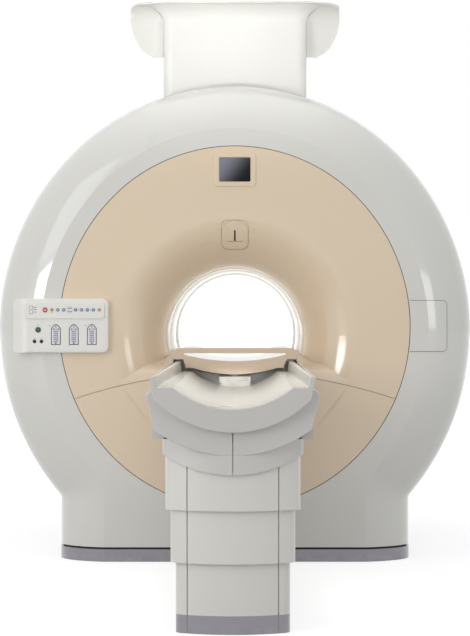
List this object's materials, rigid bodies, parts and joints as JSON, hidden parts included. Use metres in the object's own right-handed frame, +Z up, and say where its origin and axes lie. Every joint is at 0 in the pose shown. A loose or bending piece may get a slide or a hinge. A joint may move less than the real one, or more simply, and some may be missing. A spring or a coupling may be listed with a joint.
{
  "type": "mri scanner",
  "caption": "Closed-bore magnetic resonance scanner: round drum with a flared funnel, control panel and hooded turret, docked to a telescoping patient table with a sliding top.",
  "frame": {"origin": "on the floor under the middle of the magnet, at the centre of its four anchor bolts", "axes": "+X to the right seen from the patient table, +Y from the table into the bore and along the bore's axis, +Z up"},
  "size_m": [2.126, 4.114, 2.509],
  "materials": {
    "cover_white": "satin, warm white",
    "face_beige": "semi-gloss, beige",
    "skirt_lavender": "satin, grey lavender",
    "seal_black": "matt black",
    "seal_grey": "matt grey",
    "steel_frame": "satin grey",
    "vessel_steel": "brushed",
    "coil_resin": "cast resin",
    "liner_white": "gloss white",
    "aluminium_part": "satin",
    "screen_glass": "dark display glass",
    "panel_white": "satin, cool white",
    "window_print": "printed window, pale blue grey",
    "indicator_grey": "satin grey",
    "jack_black": "matt black",
    "key_red": "gloss red",
    "key_orange": "gloss orange",
    "key_blue": "gloss blue",
    "key_grey": "gloss blue grey",
    "key_green": "gloss green",
    "table_white": "satin, warm white",
    "table_grey": "satin, warm grey",
    "top_beige": "semi-gloss, beige",
    "top_white": "gloss, pale"
  },
  "bodies": {
    "scanner": {"front_cover": "cover_white", "funnel_upper_cover": "face_beige", "funnel_lower_cover": "face_beige", "left_side_cover": "cover_white", "right_side_cover": "cover_white", "rear_cover": "cover_white", "bore_tube": "liner_white", "turret_front_cover": "cover_white", "turret_rear_cover": "cover_white", "floor_skirt": "skirt_lavender", "skirt_seal": "seal_black", "front_cover_frame": "steel_frame", "rear_cover_frame": "steel_frame", "magnet_vessel": "vessel_steel", "magnet_feet": "steel_frame", "gradient_coil": "coil_resin", "body_coil": "coil_resin", "cold_head": "aluminium_part", "vent_pipe": "aluminium_part", "bore_bridge": "liner_white", "dock_seal": "seal_grey", "display_bezel": "face_beige", "display_screen": "screen_glass", "intercom_cover": "face_beige", "microphone": "jack_black", "blank_panel_cover": "cover_white", "panel_housing": "panel_white", "key_strip": "panel_white", "strip_indicators": "indicator_grey", "channel_windows": "window_print", "jack_sockets": "jack_black", "table_base": "skirt_lavender", "lower_sleeve": "table_white", "lower_sleeve_panel": "table_white", "lift_tubes_lower": "steel_frame", "lift_screws": "vessel_steel"},
    "lift_middle": {"middle_sleeve": "table_white", "middle_sleeve_panel": "table_white", "middle_lift_frame": "steel_frame"},
    "lift_top": {"upper_sleeve": "table_white", "upper_sleeve_panel": "table_white", "table_frame": "steel_frame", "table_cover_left": "table_grey", "table_cover_right": "table_grey", "trough": "table_white", "end_cap": "table_grey"},
    "tabletop": {"tabletop_board": "top_white", "tabletop_end": "top_beige"},
    "drive": {"drive_carriage": "table_white"},
    "stop_key_body": {"stop_key": "key_red"},
    "orange_key_left_body": {"orange_key_left": "key_orange"},
    "blue_key_1_body": {"blue_key_1": "key_blue"},
    "blue_key_2_body": {"blue_key_2": "key_blue"},
    "grey_key_1_body": {"grey_key_1": "key_grey"},
    "grey_key_2_body": {"grey_key_2": "key_grey"},
    "grey_key_3_body": {"grey_key_3": "key_grey"},
    "blue_key_3_body": {"blue_key_3": "key_blue"},
    "orange_key_right_body": {"orange_key_right": "key_orange"},
    "start_key_body": {"start_key": "key_green"}
  },
  "joints": [
    {"name": "table_lift", "type": "slide", "parent": "scanner", "child": "lift_top", "axis": [0, 0, 1], "range_m": [-0.355, 0]},
    {"name": "lift_middle_slide", "type": "slide", "parent": "scanner", "child": "lift_middle", "axis": [0, 0, 1], "range_m": [-0.1775, 0]},
    {"name": "tabletop_slide", "type": "slide", "parent": "scanner", "child": "tabletop", "axis": [0, 1, 0], "range_m": [-1.85, 0]},
    {"name": "drive_slide", "type": "slide", "parent": "lift_top", "child": "drive", "axis": [0, 1, 0], "range_m": [-1.85, 0]},
    {"name": "stop_key_press", "type": "slide", "parent": "scanner", "child": "stop_key_body", "axis": [0, 1, 0], "range_m": [0, 0.0015], "stiffness_N_per_m": 800},
    {"name": "orange_key_left_press", "type": "slide", "parent": "scanner", "child": "orange_key_left_body", "axis": [0, 1, 0], "range_m": [0, 0.0015], "stiffness_N_per_m": 800},
    {"name": "blue_key_1_press", "type": "slide", "parent": "scanner", "child": "blue_key_1_body", "axis": [0, 1, 0], "range_m": [0, 0.0015], "stiffness_N_per_m": 800},
    {"name": "blue_key_2_press", "type": "slide", "parent": "scanner", "child": "blue_key_2_body", "axis": [0, 1, 0], "range_m": [0, 0.0015], "stiffness_N_per_m": 800},
    {"name": "grey_key_1_press", "type": "slide", "parent": "scanner", "child": "grey_key_1_body", "axis": [0, 1, 0], "range_m": [0, 0.0015], "stiffness_N_per_m": 800},
    {"name": "grey_key_2_press", "type": "slide", "parent": "scanner", "child": "grey_key_2_body", "axis": [0, 1, 0], "range_m": [0, 0.0015], "stiffness_N_per_m": 800},
    {"name": "grey_key_3_press", "type": "slide", "parent": "scanner", "child": "grey_key_3_body", "axis": [0, 1, 0], "range_m": [0, 0.0015], "stiffness_N_per_m": 800},
    {"name": "blue_key_3_press", "type": "slide", "parent": "scanner", "child": "blue_key_3_body", "axis": [0, 1, 0], "range_m": [0, 0.0015], "stiffness_N_per_m": 800},
    {"name": "orange_key_right_press", "type": "slide", "parent": "scanner", "child": "orange_key_right_body", "axis": [0, 1, 0], "range_m": [0, 0.0015], "stiffness_N_per_m": 800},
    {"name": "start_key_press", "type": "slide", "parent": "scanner", "child": "start_key_body", "axis": [0, 1, 0], "range_m": [0, 0.0015], "stiffness_N_per_m": 800}
  ],
  "couplings": [
    {"joint": "lift_middle_slide", "follows": "table_lift", "ratio": 0.5},
    {"joint": "drive_slide", "follows": "tabletop_slide", "ratio": 1}
  ]
}
